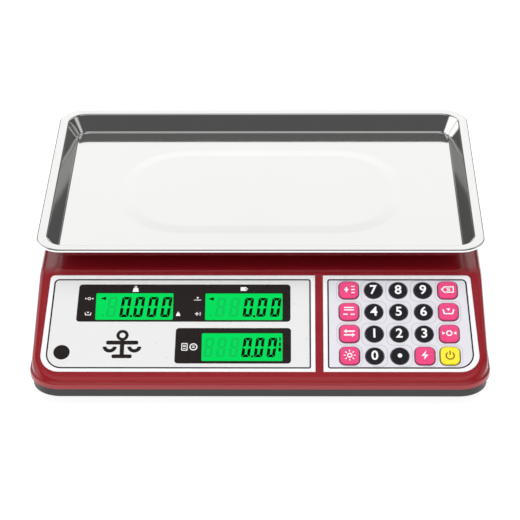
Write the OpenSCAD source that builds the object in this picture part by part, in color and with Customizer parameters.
// Counter-top price computing scale: a pressed steel tray on a single-point load cell, inside a two-part
// plastic housing with a sloping front panel of three displays and twenty keys.
// Millimetres. +X points to the seller's right, +Y points from the seller's side to the customer's side,
// +Z is up. The origin is on the counter, under the middle of the housing.

/* [Tray] */
// Width of the tray over its rim
tray_w = 340; // [330:1:344]
// Front-to-back length of the tray over its rim
tray_d = 232; // [224:1:236]
// Height of the top of the tray's rim above the counter
rim_z = 92; // [91:0.5:96]
// Depth of the tray from its rim down to its floor
tray_depth = 13.6; // [12.6:0.2:14]
// Thickness of the tray's steel sheet
sheet_t = 0.8; // [0.6:0.1:1]
// Width of the flat rim around the tray
rim_w = 7.5; // [6:0.5:9]
// How far the tray's side walls lean in from top to bottom
wall_lean = 8; // [6:0.5:9]
// Corner radius of the rim
rim_r = 20; // [18:1:22]
// Corner radius where the walls meet the rim
mouth_r = 15; // [13:1:16]
// Corner radius where the walls meet the floor
floor_r = 9; // [8:1:12]
// Width of the raised plateau in the tray's floor, measured outside its sloping border
plateau_w = 222; // [216:1:230]
// Front-to-back length of the raised plateau
plateau_d = 136; // [130:1:140]
// Height of the plateau above the rest of the floor
plateau_rise = 0.8; // [0.6:0.1:1.2]
// Distance of the tray's centre behind the housing's centre
tray_y = 37; // [36:0.5:38]

/* [Housing] */
// Width of the housing at its lower edge
body_w = 343; // [342:1:346]
// Front-to-back length of the housing at its lower edge
body_d = 310; // [309:1:314]
// Height of the joint between the two halves of the housing
split_z = 17.5; // [17:0.5:18]
// Height of the housing's flat top
top_z = 69; // [69:0.5:70]
// Slope of the front panel from level, in degrees
panel_slope = 29; // [28.5:0.5:29.5]
// Height at which the front panel meets the front wall, before the bevel
crease_z = 22.6; // [22:0.2:24]
// Draft of the housing's side walls, in degrees
draft = 3; // [2.5:0.5:4]
// Height of the flange around the housing's lower edge
flange_h = 4.2; // [3:0.1:4.6]
// How far the flange stands out from the wall above it
flange_out = 1.2; // [0.8:0.1:1.5]
// Size of the rounded bevel where the panel and the top meet the side walls
edge_bevel = 4.5; // [3:0.5:5]
// Wall thickness of both halves of the housing
wall = 2.5; // [2.2:0.1:2.6]
// Plan radius of the housing's corners at its lower edge
corner_r = 24; // [22:1:26]
// Radius that blends the front panel into the flat top
blend_r = 20; // [14:1:24]

/* [Keypad] */
// Distance between the centres of neighbouring keys
key_pitch = 18.6; // [18.4:0.1:18.8]
// Diameter of a round key
key_dia = 13; // [12.6:0.1:13.2]
// Width of a square key
key_w = 14.2; // [13.8:0.1:14.4]
// Height of a key's face above the keypad label
key_proud = 1.6; // [1.4:0.1:2]

/* [Displays] */
// Width of each display glass
lcd_w = 60; // [59:0.5:60.5]
// Height of each display glass
lcd_h = 27; // [26:0.5:27.5]

/* [Feet] */
// Diameter of each rubber foot
foot_dia = 26; // [24:1:28]
// Height of the underside of the housing above the counter
foot_h = 10; // [10:0.5:10]
// Distance of each foot from the middle, sideways
foot_x = 140; // [138:1:142]
// Distance of each foot from the middle, front to back
foot_y = 120; // [118:1:122]

/* [Hidden] */
$fn = 64;

// Tray levels: top and underside of its floor, and underside of its plateau.
floor_z = rim_z - tray_depth;
tray_under_z = floor_z - sheet_t;
plateau_under_z = tray_under_z + plateau_rise;
plateau_border = 10.5;
plateau_r = 53;
rim_drop = 2;

// Front panel: the panel plane passes through (crease_y, crease_z).
crease_y = 1.5 - body_d / 2;
label_t = 0.5;
label_s0 = 9;
label_s1 = 91;
label_gap_x0 = 41.4;
label_gap_x1 = 47.4;
label_side_low = 163;
label_side_high = 159;

// Keypad: centre of the top left key in panel coordinates, and the stack under the keys.
key_x0 = 66.8;
key_s0 = 77.7;
key_flange_top = -2.7;
key_flange_t = 1.2;
key_flange_over = 0.7;
key_square_r = 4;
dome_r = 4.6;
mat_t = 0.8;
board_t = 1.6;
keypad_board_top = -6.4;
key_screw_x = 2.5 * key_pitch + 1;
key_screw_s = 2 * key_pitch - 1;
board_screw_head = 2;

// Displays: centre of each glass in panel coordinates, and the stack behind the glass.
lcd_pos = [[-94.8, 64.4], [-12.4, 64.4], [-13.2, 29.8]];
lcd_t = 2.8;
lcd_top = -0.6;
backlight_t = 6.4;
main_board_top = lcd_top - lcd_t - backlight_t;
main_board_x = -48;
main_board_s = 48;
main_board_w = 168;
main_board_h = 72;
main_screw_x = 81;
main_screw_s = 33;
spot_x = -147.9;
spot_s = 25.2;
spot_r = 6.2;
vial_y = crease_y + spot_s * cos(panel_slope);
vial_z = 20.5;
vial_r = 6;

// Weighing mechanism levels, from the floor of the housing upwards.
floor_top = foot_h + wall;
plate_z = 19;
plate_t = 3;
cell_z = plate_z + plate_t;
cell_l = 130;
cell_w = 30;
cell_h = 22;
frame_z = cell_z + cell_h + 3;
frame_t = 6;
post_x = 80;
post_y = 35;
post_r = 7;
pad_top_t = 2;
pad_skirt = 4;
pad_r = 9;
stop_gap = 0.6;
m6_r = 3;
m6_clear = 3.3;
cell_screw_x = [40, 55];

// Brass nuts that the feet screw into, moulded into bosses of the lower housing.
nut_r = 4.5;
nut_h = 10;
nut_inset = 4;
foot_boss_r = 8;
foot_boss_h = 14.5;

// Battery, its door and the transformer.
battery_w = 70;
battery_l = 101;
battery_h = 47;
battery_x0 = -160;
battery_y0 = -38;
battery_cx = battery_x0 + battery_w / 2;
battery_cy = battery_y0 + battery_l / 2;
battery_gap = 1.5;
door_margin = 4;
door_t = 2.3;
transformer_x = 122;
transformer_y = 82;
transformer_z = 16;
transformer_screw_x = 20;

// Screws that hold the two halves of the housing together.
front_bosses = [[-158.5, -138.5], [44.5, -134], [158.5, -138.5]];
rear_bosses = [[-157, 139], [-100, 143], [100, 143], [157, 139]];
boss_r = 4;
screw_r = 1.5;

// Rear display: centre height of the window on the rear wall.
rear_z = 42;
rear_w = 176;
rear_h = 34;
rear_lcd_x = [-54, 0, 54];
inlet_x = 128;
inlet_down = -8;

function panel_z(y) = crease_z + (y - crease_y) * tan(panel_slope);
function key_x(column) = key_x0 + column * key_pitch;
function key_s(row) = key_s0 - row * key_pitch;
function is_square(column, row) = column == 0 || column == 4 || (column == 3 && row == 3);

// Points of a round stretch that blends two straight lines meeting at p, turning from a0 to a1.
function arc(centre, r, a0, a1, steps) =
    [for (i = [0:steps]) centre + r * [cos(a0 + (a1 - a0) * i / steps), sin(a0 + (a1 - a0) * i / steps)]];

// Front panel coordinates: x to the right, y up the slope, z out of the panel.
module on_panel(x = 0, s = 0, z = 0) {
    translate([0, crease_y, crease_z])
        rotate([panel_slope, 0, 0])
            translate([x, s, z])
                children();
}

// Middle of the main board and of the keypad board, z above the board's upper face.
module on_main_board(z) {
    on_panel(main_board_x, main_board_s, main_board_top + z)
        children();
}

module on_keypad_board(z) {
    on_panel(key_x(2), key_s(1.5), keypad_board_top + z)
        children();
}

// Rear wall coordinates: x to the right as the customer sees it, y up, z out of the wall.
module on_rear(x = 0, y = 0, z = 0) {
    translate([0, body_d / 2 - flange_out - (rear_z - split_z) * tan(draft), rear_z])
        rotate([90 - draft, 0, 180])
            translate([x, y, z])
                children();
}

// Rectangle with round corners, centred.
module rounded(w, d, r) {
    square([w - 2 * r, d], center = true);
    square([w, d - 2 * r], center = true);
    for (x = [r - w / 2, w / 2 - r], y = [r - d / 2, d / 2 - r])
        translate([x, y])
            circle(r);
}

module rounded_plate(w, d, r, t) {
    linear_extrude(t)
        rounded(w, d, r);
}

// Solid between a lower and an upper round-cornered rectangle.
module loft(w0, d0, r0, w1, d1, r1, h) {
    skin = 0.01;
    hull() {
        rounded_plate(w0, d0, r0, skin, $fn = 48);
        translate([0, 0, h - skin])
            rounded_plate(w1, d1, r1, skin, $fn = 48);
    }
}

module at_corners(x, y) {
    for (sx = [-1, 1], sy = [-1, 1])
        translate([sx * x, sy * y, 0])
            children();
}

module at_points(points) {
    for (p = points)
        translate([p[0], p[1], 0])
            children();
}

// Eight-sided cable through a list of points; each run reaches a little past its ends to fill the bends.
module cable(points, r) {
    for (i = [0:len(points) - 2]) {
        v = points[i + 1] - points[i];
        reach = norm(v);
        translate(points[i])
            rotate([0, acos(v[2] / reach), atan2(v[1], v[0])])
                translate([0, 0, -r / 2])
                    cylinder(h = reach + r, r = r, $fn = 8);
    }
}

// ---- Weighing group ----

module weighing_tray() {
    inner_w = tray_w - 2 * rim_w;
    inner_d = tray_d - 2 * rim_w;
    floor_w = inner_w - 2 * wall_lean;
    floor_d = inner_d - 2 * wall_lean;
    flat_w = plateau_w - 2 * plateau_border;
    flat_d = plateau_d - 2 * plateau_border;
    flat_r = plateau_r - plateau_border;
    over = 2 * sheet_t;
    color("gainsboro")
        translate([0, tray_y, 0])
            difference() {
                union() {
                    translate([0, 0, tray_under_z])
                        loft(floor_w + over, floor_d + over, floor_r + sheet_t,
                            inner_w + over, inner_d + over, mouth_r + sheet_t, rim_z - tray_under_z);
                    translate([0, 0, floor_z - 0.1])
                        loft(plateau_w, plateau_d, plateau_r, flat_w, flat_d, flat_r, plateau_rise + 0.1);
                    translate([0, 0, rim_z - sheet_t])
                        rounded_plate(tray_w, tray_d, rim_r, sheet_t);
                    translate([0, 0, rim_z - rim_drop])
                        linear_extrude(rim_drop)
                            difference() {
                                rounded(tray_w, tray_d, rim_r);
                                rounded(tray_w - over, tray_d - over, rim_r - sheet_t);
                            }
                }
                difference() {
                    translate([0, 0, floor_z])
                        loft(floor_w, floor_d, floor_r, inner_w, inner_d, mouth_r, tray_depth + 0.02);
                    translate([0, 0, floor_z - 0.1])
                        loft(plateau_w, plateau_d, plateau_r, flat_w, flat_d, flat_r, plateau_rise + 0.1);
                }
                translate([0, 0, tray_under_z - 0.02])
                    loft(plateau_w - over, plateau_d - over, plateau_r - sheet_t,
                        flat_w - over, flat_d - over, flat_r - sheet_t, plateau_rise + 0.02);
            }
}

module tray_pads() {
    color("dimgray")
        translate([0, tray_y, plateau_under_z - pad_top_t - pad_skirt])
            at_corners(post_x, post_y)
                difference() {
                    cylinder(h = pad_top_t + pad_skirt, r = pad_r);
                    translate([0, 0, -1])
                        cylinder(h = pad_skirt + 1, r = post_r);
                }
}

module load_frame() {
    arm_w = 16;
    arm_angle = atan2(post_y, post_x);
    post_top = plateau_under_z - pad_top_t;
    color("lightgray")
        translate([0, tray_y, 0])
            difference() {
                union() {
                    translate([0, 0, frame_z])
                        linear_extrude(frame_t) {
                            rounded(cell_l + 6, cell_w + 8, 6);
                            for (a = [arm_angle, -arm_angle])
                                rotate(a)
                                    square([2 * norm([post_x, post_y]), arm_w], center = true);
                            for (x = [-post_x, post_x], y = [-post_y, post_y])
                                translate([x, y])
                                    circle(arm_w / 2 + 2);
                        }
                    // Stiffening rib along the top of each arm
                    translate([0, 0, frame_z + 1])
                        linear_extrude(frame_t + 3)
                            for (a = [arm_angle, -arm_angle])
                                rotate(a)
                                    square([2 * norm([post_x, post_y]) - 8, 3], center = true);
                    at_corners(post_x, post_y)
                        translate([0, 0, frame_z])
                            cylinder(h = post_top - frame_z, r = post_r);
                    translate([cell_screw_x[0] - 10, -cell_w / 2, frame_z - 3])
                        cube([cell_l / 2 - cell_screw_x[0] + 10, cell_w, 4]);
                }
                for (x = cell_screw_x)
                    translate([x, 0, frame_z - 4])
                        cylinder(h = frame_t + 20, r = m6_clear);
                for (x = cell_screw_x)
                    translate([x, 0, frame_z + frame_t])
                        cylinder(h = 20, r = 6);
                // Lightening slots either side of the middle of the hub
                for (y = [-12, 12])
                    translate([-20, y, frame_z - 1])
                        rounded_plate(40, 6, 2.5, frame_t + 8);
            }
}

module m6_screw(shank) {
    difference() {
        union() {
            cylinder(h = 4, r = 5);
            translate([0, 0, 4])
                cylinder(h = shank, r = m6_r - 0.05);
        }
        translate([0, 0, -1])
            cylinder(h = 3.5, r = 2.4, $fn = 6);
    }
}

module frame_screws() {
    color("silver")
        translate([0, tray_y, frame_z + frame_t + 4])
            for (x = cell_screw_x)
                translate([x, 0, 0])
                    rotate([180, 0, 0])
                        m6_screw(frame_t + 3 + 12);
}

module load_cell() {
    flex_x = 15;
    flex_r = 8.6;
    color("silver")
        translate([0, tray_y, cell_z])
            difference() {
                translate([-cell_l / 2, -cell_w / 2, 0])
                    cube([cell_l, cell_w, cell_h]);
                for (x = [-flex_x, flex_x])
                    translate([x, cell_w, cell_h / 2])
                        rotate([90, 0, 0])
                            cylinder(h = 2 * cell_w, r = flex_r);
                translate([-flex_x, -cell_w, cell_h / 2 - 4])
                    cube([2 * flex_x, 2 * cell_w, 8]);
                for (x = cell_screw_x)
                    translate([x, 0, cell_h - 14])
                        cylinder(h = 20, r = m6_r);
                for (x = cell_screw_x)
                    translate([-x, 0, -1])
                        cylinder(h = 15, r = m6_r);
            }
}

module gauge_potting() {
    color("white")
        translate([0, tray_y, 0])
            for (z = [cell_z - 1.2, cell_z + cell_h])
                translate([0, 0, z])
                    rounded_plate(52, 24, 4, 1.2);
}

module cell_plate() {
    color("darkgray")
        translate([-(cell_screw_x[0] + cell_screw_x[1]) / 2 - 3, tray_y, plate_z])
            difference() {
                rounded_plate(46, 60, 5, plate_t);
                for (x = [-7.5, 7.5])
                    translate([x + 3, 0, -1])
                        cylinder(h = plate_t + 2, r = m6_clear);
            }
}

module cell_screws() {
    color("silver")
        translate([0, tray_y, foot_h + 1])
            for (x = cell_screw_x)
                translate([-x, 0, 0])
                    m6_screw(cell_z + 12 - foot_h - 5);
}

module overload_stops() {
    screw_top = frame_z - stop_gap;
    color("goldenrod")
        translate([0, tray_y, 0])
            at_corners(post_x, post_y) {
                translate([0, 0, screw_top - 18])
                    cylinder(h = 18, r = m6_r - 0.05);
                translate([0, 0, screw_top - 7])
                    difference() {
                        cylinder(h = 4, r = 5.6, $fn = 6);
                        translate([0, 0, -1])
                            cylinder(h = 6, r = m6_r - 0.1);
                    }
            }
}

// ---- Housing ----

// Drafted block with round corners that the housing's walls follow, set in by t.
module drafted_block(t) {
    h = top_z + 4 - split_z;
    r0 = corner_r - flange_out - t;
    r1 = r0 - h * tan(draft);
    hull()
        at_corners(body_w / 2 - corner_r, body_d / 2 - corner_r)
            cylinder(h = h, r1 = r0, r2 = r1, $fn = 64);
}

// Side view of the space under the front panel and the flat top, set in by t.
module side_profile(t) {
    slope_drop = t / cos(panel_slope);
    top = top_z - t;
    r = blend_r - t;
    y_corner = crease_y + (top + slope_drop - crease_z) / tan(panel_slope);
    y_centre = y_corner + r * tan(panel_slope / 2);
    reach = 200;
    linear_extrude(body_w + 20, center = true)
        polygon(concat(
            [[reach, 0], [-reach, 0], [-reach, panel_z(-reach) - slope_drop]],
            arc([y_centre, top - r], r, 90 + panel_slope, 90, 10),
            [[reach, top]]
        ));
}

// Block whose side walls are set in by t_wall, and its panel and top by t_top.
module housing_block(t_wall, t_top) {
    intersection() {
        translate([0, 0, split_z])
            drafted_block(t_wall);
        rotate([90, 0, 90])
            side_profile(t_top);
    }
}

// Outside of the upper housing, with a rounded bevel between its walls and its panel and top.
module housing_outside() {
    hull()
        for (a = [0, 45, 90])
            housing_block(edge_bevel * (1 - cos(a)), edge_bevel * (1 - sin(a)));
    translate([0, 0, split_z])
        rounded_plate(body_w, body_d, corner_r, flange_h);
}

// Outline of a front label in panel coordinates; side is -1 for the display and 1 for the keypad.
module label_outline(side, grow) {
    inner_x = side < 0 ? label_gap_x0 : label_gap_x1;
    big_r = 14;
    small_r = 3.5;
    polygon(concat(
        [[inner_x + grow * -side, label_s0 - grow]],
        [[inner_x + grow * -side, label_s1 + grow]],
        arc([side * (label_side_high - small_r), label_s1 - small_r], small_r + grow,
            90, side < 0 ? 180 : 0, 6),
        arc([side * (label_side_low - big_r), label_s0 + big_r], big_r + grow,
            side < 0 ? 180 : 0, side < 0 ? 270 : -90, 10)
    ));
}

module key_hole(column, row, clearance, t) {
    if (is_square(column, row))
        translate([0, 0, -t])
            rounded_plate(key_w + 2 * clearance, key_w + 2 * clearance, key_square_r + clearance, 2 * t);
    else
        translate([0, 0, -t])
            cylinder(h = 2 * t, r = key_dia / 2 + clearance);
}

module upper_housing() {
    post_hole_r = 11;
    color("firebrick")
        difference() {
            union() {
                difference() {
                    housing_outside();
                    translate([0, 0, -0.01])
                        housing_block(wall, wall);
                }
                intersection() {
                    translate([0, 0, split_z + 2])
                        at_points(concat(front_bosses, rear_bosses))
                            cylinder(h = top_z, r = boss_r);
                    housing_block(wall / 2, wall / 2);
                }
                translate([0, tray_y, top_z - 1])
                    at_corners(post_x, post_y)
                        cylinder(h = 3.5, r = post_hole_r + 2);
                on_main_board(0.05)
                    at_corners(main_screw_x, main_screw_s)
                        cylinder(h = -main_board_top - wall, r = 3);
                on_keypad_board(0.05)
                    at_corners(key_screw_x, key_screw_s)
                        cylinder(h = -keypad_board_top - wall, r = 3);
            }
            on_main_board(0)
                at_corners(main_screw_x, main_screw_s)
                    cylinder(h = 6, r = screw_r + 0.05);
            on_keypad_board(0)
                at_corners(key_screw_x, key_screw_s)
                    cylinder(h = 5.2, r = screw_r + 0.05);
            translate([0, tray_y, top_z - wall - 1])
                at_corners(post_x, post_y)
                    cylinder(h = 12, r = post_hole_r);
            at_points(concat(front_bosses, rear_bosses))
                translate([0, 0, split_z - 1])
                    cylinder(h = 8, r = screw_r + 0.05);
            on_panel(0, 0, -label_t)
                for (side = [-1, 1])
                    linear_extrude(5)
                        label_outline(side, 0.2);
            for (p = lcd_pos)
                on_panel(p[0], p[1], -8)
                    rounded_plate(lcd_w + 1, lcd_h + 1, 1, 9);
            on_panel(spot_x, spot_s, -8)
                cylinder(h = 9, r = spot_r);
            for (column = [0:4], row = [0:3])
                on_panel(key_x(column), key_s(row))
                    key_hole(column, row, 0.3, 4);
            on_rear(0, 0, -0.6)
                rounded_plate(rear_w + 0.4, rear_h + 0.4, 4, 5);
            on_rear(0, 0, -6)
                rounded_plate(rear_w - 12, rear_h - 8, 2, 9);
            on_rear(-inlet_x, inlet_down, -6)
                rounded_plate(21, 13, 5, 12);
        }
}

module lower_housing() {
    inset = 2;
    shell_w = body_w - 2 * inset;
    shell_d = body_d - 2 * inset;
    shell_r = corner_r - inset;
    tongue = wall + flange_out + 0.7;
    pad_x = -(cell_screw_x[0] + cell_screw_x[1]) / 2;
    color("darkslategray")
        difference() {
            union() {
                translate([0, 0, foot_h])
                    difference() {
                        rounded_plate(shell_w, shell_d, shell_r, split_z - foot_h);
                        translate([0, 0, wall])
                            rounded_plate(shell_w - 6, shell_d - 6, shell_r - 3, split_z);
                    }
                translate([0, 0, foot_h])
                    linear_extrude(split_z - foot_h + 3)
                        difference() {
                            rounded(body_w - 2 * tongue, body_d - 2 * tongue, corner_r - tongue);
                            rounded(body_w - 2 * tongue - 4, body_d - 2 * tongue - 4, corner_r - tongue - 2);
                        }
                // Bosses for the feet, the housing screws, the overload stops and the level
                translate([0, 0, foot_h])
                    at_corners(foot_x, foot_y)
                        cylinder(h = foot_boss_h, r = foot_boss_r);
                translate([0, 0, foot_h])
                    at_points(concat(front_bosses, rear_bosses))
                        cylinder(h = split_z + 1.8 - foot_h, r = boss_r + 1);
                translate([0, tray_y, foot_h])
                    at_corners(post_x, post_y)
                        cylinder(h = frame_z - stop_gap - 7 - foot_h, r = 6.5);
                translate([spot_x, vial_y, foot_h])
                    cylinder(h = vial_z + 4.5 - foot_h, r = vial_r + 1.5);
                // Block that carries the fixed end of the load cell
                translate([pad_x - 3, tray_y, foot_h])
                    rounded_plate(50, 64, 5, plate_z - foot_h);
                // Stiffening ribs across the floor
                for (y = [-85, -60])
                    translate([-60, y, foot_h])
                        cube([190, 2, 8]);
                for (x = [-10, 35, 82])
                    translate([x, -85, foot_h])
                        cube([2, 85, 8]);
                // Battery box
                translate([battery_cx, battery_cy, foot_h])
                    difference() {
                        rounded_plate(battery_w + 8, battery_l + 8, 4, 34);
                        translate([0, 0, -1])
                            rounded_plate(battery_w + 2 * battery_gap, battery_l + 2 * battery_gap, 1, 40);
                    }
                // Posts for the transformer
                for (x = [-transformer_screw_x, transformer_screw_x])
                    translate([transformer_x + x, transformer_y, foot_h])
                        cylinder(h = transformer_z - foot_h, r = 4);
            }
            // Battery opening, with a recess for its door
            translate([battery_cx, battery_cy, foot_h - 1])
                rounded_plate(battery_w + 2 * battery_gap, battery_l + 2 * battery_gap, 1, 10);
            translate([battery_cx, battery_cy, foot_h - 1])
                rounded_plate(battery_w + 2 * door_margin - 1, battery_l + 2 * door_margin - 1, 2, 1 + door_t + 0.05);
            // Foot nuts and their screws
            translate([0, 0, foot_h])
                at_corners(foot_x, foot_y) {
                    translate([0, 0, nut_inset])
                        cylinder(h = 20, r = nut_r);
                    translate([0, 0, -1])
                        cylinder(h = 10, r = m6_r + 0.6);
                }
            // Housing screws
            at_points(concat(front_bosses, rear_bosses)) {
                translate([0, 0, foot_h - 1])
                    cylinder(h = 20, r = screw_r + 0.3);
                translate([0, 0, foot_h - 1])
                    cylinder(h = 4, r = 3.2);
            }
            // Load cell screws
            translate([0, tray_y, 0])
                for (x = cell_screw_x)
                    translate([-x, 0, foot_h - 1]) {
                        cylinder(h = 30, r = m6_clear);
                        cylinder(h = 6.02, r = 5.6);
                    }
            // Overload stop threads
            translate([0, tray_y, frame_z - stop_gap - 19])
                at_corners(post_x, post_y)
                    cylinder(h = 30, r = m6_r);
            // Seat of the level
            translate([spot_x, vial_y, vial_z])
                cylinder(h = 10, r = vial_r + 0.05);
        }
}

module housing_screws() {
    color("dimgray")
        at_points(concat(front_bosses, rear_bosses))
            translate([0, 0, foot_h + 0.4]) {
                difference() {
                    cylinder(h = 2.6, r = 2.9);
                    translate([0, 0, -1])
                        linear_extrude(2.2) {
                            square([3.2, 0.8], center = true);
                            square([0.8, 3.2], center = true);
                        }
                }
                translate([0, 0, 2.6])
                    cylinder(h = 11, r = screw_r);
            }
}

// ---- Levelling feet ----

module foot_nuts() {
    color("goldenrod")
        translate([0, 0, foot_h + nut_inset])
            at_corners(foot_x, foot_y)
                difference() {
                    cylinder(h = nut_h, r = nut_r);
                    translate([0, 0, -1])
                        cylinder(h = nut_h + 2, r = m6_r + 0.05);
                }
}

module foot_pad(sx, sy) {
    color("dimgray")
        translate([sx * foot_x, sy * foot_y, 0])
            difference() {
                cylinder(h = 5, r = foot_dia / 2);
                translate([0, 0, 2])
                    cylinder(h = 2.4, r = 9.05);
                translate([0, 0, 4])
                    cylinder(h = 2, r = 7.55);
                translate([0, 0, -1])
                    difference() {
                        cylinder(h = 1.6, r = 9);
                        cylinder(h = 1.6, r = 7);
                    }
            }
}

module foot_screw(sx, sy) {
    grips = 24;
    color("black")
        translate([sx * foot_x, sy * foot_y, 0]) {
            translate([0, 0, 2.05])
                cylinder(h = 2.3, r = 9);
            translate([0, 0, 2.05])
                cylinder(h = 4, r = 7.5);
            difference() {
                translate([0, 0, 5.3])
                    cylinder(h = 3.9, r = 12);
                for (i = [0:grips - 1])
                    rotate(i * 360 / grips)
                        translate([12.4, 0, 5])
                            cylinder(h = 5, r = 0.8, $fn = 16);
            }
            translate([0, 0, 9])
                cylinder(h = foot_h + 5, r = m6_r);
        }
}

module foot_pad_front_left() { foot_pad(-1, -1); }
module foot_pad_front_right() { foot_pad(1, -1); }
module foot_pad_rear_left() { foot_pad(-1, 1); }
module foot_pad_rear_right() { foot_pad(1, 1); }
module foot_screw_front_left() { foot_screw(-1, -1); }
module foot_screw_front_right() { foot_screw(1, -1); }
module foot_screw_rear_left() { foot_screw(-1, 1); }
module foot_screw_rear_right() { foot_screw(1, 1); }

// ---- Displays ----

module display_fascia() {
    color("whitesmoke")
        on_panel(0, 0, -label_t)
            linear_extrude(label_t - 0.1)
                label_outline(-1, 0);
}

module lcd_glass(index) {
    color("palegreen")
        on_panel(lcd_pos[index][0], lcd_pos[index][1], lcd_top - lcd_t) {
            rounded_plate(lcd_w, lcd_h, 0.5, lcd_t / 2);
            translate([0, -1, 0])
                rounded_plate(lcd_w, lcd_h - 2, 0.5, lcd_t);
        }
}

module lcd_weight() { lcd_glass(0); }
module lcd_unit_price() { lcd_glass(1); }
module lcd_total() { lcd_glass(2); }

module lcd_backlights() {
    color("limegreen")
        for (p = lcd_pos)
            on_panel(p[0], p[1], main_board_top)
                rounded_plate(lcd_w + 2, lcd_h + 1.5, 1, backlight_t);
}

module main_board() {
    color("darkgreen")
        on_main_board(-board_t) {
            difference() {
                rounded_plate(main_board_w, main_board_h, 2, board_t);
                at_corners(main_screw_x, main_screw_s)
                    translate([0, 0, -1])
                        cylinder(h = 4, r = screw_r + 0.15);
            }
            // Microcontroller, converter, capacitors and cable sockets on the back
            translate([-30, 4, -1.8])
                rounded_plate(14, 14, 0.5, 1.9);
            translate([20, 8, -1.5])
                rounded_plate(8, 12, 0.5, 1.6);
            for (x = [48, 60])
                translate([x, 14, -8])
                    cylinder(h = 8.1, r = 4);
            for (x = [-60, -10, 70])
                translate([x, -14, -5])
                    rounded_plate(12, 6, 0.5, 5.1);
        }
}

module level_vial() {
    color("yellowgreen")
        translate([spot_x, vial_y, vial_z])
            cylinder(h = 8, r = vial_r);
}

// ---- Keypad ----

module keypad_fascia() {
    color("lavender")
        difference() {
            on_panel(0, 0, -label_t)
                linear_extrude(label_t - 0.1)
                    label_outline(1, 0);
            for (column = [0:4], row = [0:3])
                on_panel(key_x(column), key_s(row))
                    key_hole(column, row, 0.15, 4);
        }
}

module key_mat() {
    mat_top = keypad_board_top + mat_t;
    dome_top = key_flange_top - key_flange_t;
    color("gray") {
        on_keypad_board(0)
            rounded_plate(5 * key_pitch - 4, 4 * key_pitch - 2, 3, mat_t);
        for (column = [0:4], row = [0:3])
            on_panel(key_x(column), key_s(row), mat_top - 0.1)
                cylinder(h = dome_top - mat_top + 0.1, r1 = dome_r, r2 = dome_r - 1);
    }
}

module keypad_board() {
    color("darkgreen")
        on_keypad_board(-board_t)
            difference() {
                union() {
                    rounded_plate(5 * key_pitch + 6, 4 * key_pitch + 3, 2, board_t);
                    translate([-30, 0, -5])
                        rounded_plate(6, 20, 0.5, 5.1);
                }
                at_corners(key_screw_x, key_screw_s)
                    translate([0, 0, -1])
                        cylinder(h = 4, r = screw_r + 0.15);
            }
}

module square_key(column, row, tint) {
    flange = key_w + 2 * key_flange_over;
    color(tint)
        on_panel(key_x(column), key_s(row)) {
            translate([0, 0, key_flange_top - key_flange_t])
                rounded_plate(flange, flange, key_square_r, key_flange_t);
            translate([0, 0, key_flange_top - 0.1])
                rounded_plate(key_w, key_w, key_square_r, key_proud - 0.4 - key_flange_top + 0.1);
            translate([0, 0, key_proud - 0.5])
                rounded_plate(key_w - 1, key_w - 1, key_square_r - 0.5, 0.5);
        }
}

module round_key(column, row) {
    color("black")
        on_panel(key_x(column), key_s(row)) {
            translate([0, 0, key_flange_top - key_flange_t])
                cylinder(h = key_flange_t, r = key_dia / 2 + key_flange_over);
            translate([0, 0, key_flange_top - 0.1])
                cylinder(h = key_proud - 0.4 - key_flange_top + 0.1, r = key_dia / 2);
            translate([0, 0, key_proud - 0.5])
                cylinder(h = 0.5, r1 = key_dia / 2 - 0.2, r2 = key_dia / 2 - 0.8);
        }
}

module key_accumulate() { square_key(0, 0, "hotpink"); }
module key_7() { round_key(1, 0); }
module key_8() { round_key(2, 0); }
module key_9() { round_key(3, 0); }
module key_clear() { square_key(4, 0, "hotpink"); }
module key_clear_total() { square_key(0, 1, "hotpink"); }
module key_4() { round_key(1, 1); }
module key_5() { round_key(2, 1); }
module key_6() { round_key(3, 1); }
module key_tare() { square_key(4, 1, "hotpink"); }
module key_change() { square_key(0, 2, "hotpink"); }
module key_1() { round_key(1, 2); }
module key_2() { round_key(2, 2); }
module key_3() { round_key(3, 2); }
module key_zero() { square_key(4, 2, "hotpink"); }
module key_brightness() { square_key(0, 3, "hotpink"); }
module key_0() { round_key(1, 3); }
module key_point() { round_key(2, 3); }
module key_voltage() { square_key(3, 3, "hotpink"); }
module key_power() { square_key(4, 3, "gold"); }

// ---- Power ----

module battery() {
    color("dimgray")
        translate([battery_x0, battery_y0, floor_top + 0.5]) {
            cube([battery_w, battery_l, battery_h - 3]);
            translate([2, 2, battery_h - 3.1])
                cube([battery_w - 4, battery_l - 4, 3.1]);
            for (y = [14, battery_l - 14])
                translate([battery_w / 2 - 2.4, y - 0.4, battery_h - 0.1])
                    cube([4.8, 0.8, 5.5]);
        }
}

module battery_door() {
    door_w = battery_w + 2 * door_margin - 2;
    door_l = battery_l + 2 * door_margin - 2;
    color("darkslategray")
        difference() {
            translate([battery_cx, battery_cy, foot_h])
                rounded_plate(door_w, door_l, 2, door_t);
            for (i = [0:3])
                translate([battery_cx - 14, battery_cy + door_l / 2 - 8 - 3 * i, foot_h - 1])
                    cube([28, 1.2, 1.6]);
        }
}

module power_inlet() {
    color("black")
        on_rear(-inlet_x, inlet_down) {
            difference() {
                union() {
                    translate([0, 0, 0.05])
                        rounded_plate(26, 18, 6, 2);
                    translate([0, 0, -18])
                        rounded_plate(20, 12, 5, 18.1);
                }
                translate([0, 0, -12])
                    linear_extrude(20)
                        for (x = [-3.2, 3.2])
                            translate([x, 0])
                                circle(3.6);
            }
            for (x = [-4.3, 4.3])
                translate([x, 0, -12.5])
                    cylinder(h = 10, r = 1.1);
        }
}

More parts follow.
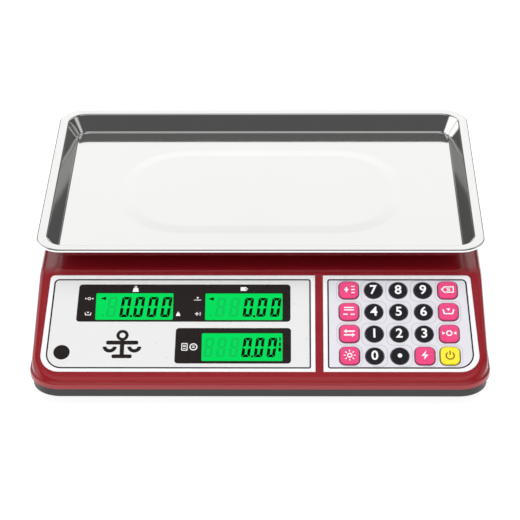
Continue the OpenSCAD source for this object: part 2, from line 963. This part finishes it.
module transformer() {
    color("slategray")
        translate([transformer_x, transformer_y, transformer_z]) {
            difference() {
                translate([-25, -7, 0])
                    cube([50, 14, 1.2]);
                for (x = [-transformer_screw_x, transformer_screw_x])
                    translate([x, 0, -1])
                        cylinder(h = 3, r = 1.8);
            }
            translate([-16, -11, 0])
                cube([32, 22, 27]);
            translate([-11, -15, 6])
                cube([22, 30, 15]);
        }
}

// ---- Rear customer display ----

module rear_fascia() {
    color("black")
        on_rear(0, 0, -0.6)
            rounded_plate(rear_w, rear_h, 3.8, 0.8);
}

module rear_lcd() {
    color("palegreen")
        for (x = rear_lcd_x)
            on_rear(x, 0, -3.6)
                rounded_plate(50, 22, 0.5, 2.6);
}

module rear_board() {
    color("darkgreen") {
        on_rear(0, 0, -10.4)
            rounded_plate(rear_w - 16, rear_h - 4, 2, board_t);
        for (x = rear_lcd_x)
            on_rear(x, 0, -8.9)
                rounded_plate(52, 23, 0.5, 5.2);
    }
}

// ---- Wiring and small screws ----

module wiring() {
    cell_out = [-cell_l / 2 - 2.2, tray_y + 8, cell_z + cell_h / 2];
    color("dimgray") {
        // Load cell to main board
        cable([cell_out, [-70, tray_y + 4, 33], [-70, -72, 33], [-60, -98, 33]], 2);
        // Battery to main board
        cable([[-121, -24, 63.5], [-108, -24, 63.5], [-82, -30, 61], [-82, -70, 36]], 1.6);
        // Mains inlet to transformer
        cable([[inlet_x, 132, 33], [inlet_x, 120, 33], [inlet_x, 101, 33]], 2.2);
        // Transformer to main board
        cable([[transformer_x, 63.5, 30], [transformer_x, -40, 30], [30, -84, 30]], 1.6);
        // Main board to rear display
        cable([[69, 136, 36], [69, 100, 26], [69, -10, 26], [20, -60, 26], [-5, -92, 30]], 1.6);
    }
}

module board_screw() {
    cylinder(h = board_screw_head, r = 2.8);
    translate([0, 0, board_screw_head - 0.1])
        cylinder(h = 5, r = screw_r);
}

module board_screws() {
    color("silver") {
        on_main_board(-board_t - board_screw_head)
            at_corners(main_screw_x, main_screw_s)
                board_screw();
        on_keypad_board(-board_t - board_screw_head)
            at_corners(key_screw_x, key_screw_s)
                board_screw();
    }
}

weighing_tray();
tray_pads();
load_frame();
frame_screws();
load_cell();
gauge_potting();
cell_plate();
cell_screws();
overload_stops();
upper_housing();
lower_housing();
housing_screws();
foot_nuts();
foot_pad_front_left();
foot_pad_front_right();
foot_pad_rear_left();
foot_pad_rear_right();
foot_screw_front_left();
foot_screw_front_right();
foot_screw_rear_left();
foot_screw_rear_right();
display_fascia();
lcd_weight();
lcd_unit_price();
lcd_total();
lcd_backlights();
main_board();
level_vial();
keypad_fascia();
key_mat();
keypad_board();
key_accumulate();
key_7();
key_8();
key_9();
key_clear();
key_clear_total();
key_4();
key_5();
key_6();
key_tare();
key_change();
key_1();
key_2();
key_3();
key_zero();
key_brightness();
key_0();
key_point();
key_voltage();
key_power();
battery();
battery_door();
power_inlet();
transformer();
rear_fascia();
rear_lcd();
rear_board();
wiring();
board_screws();
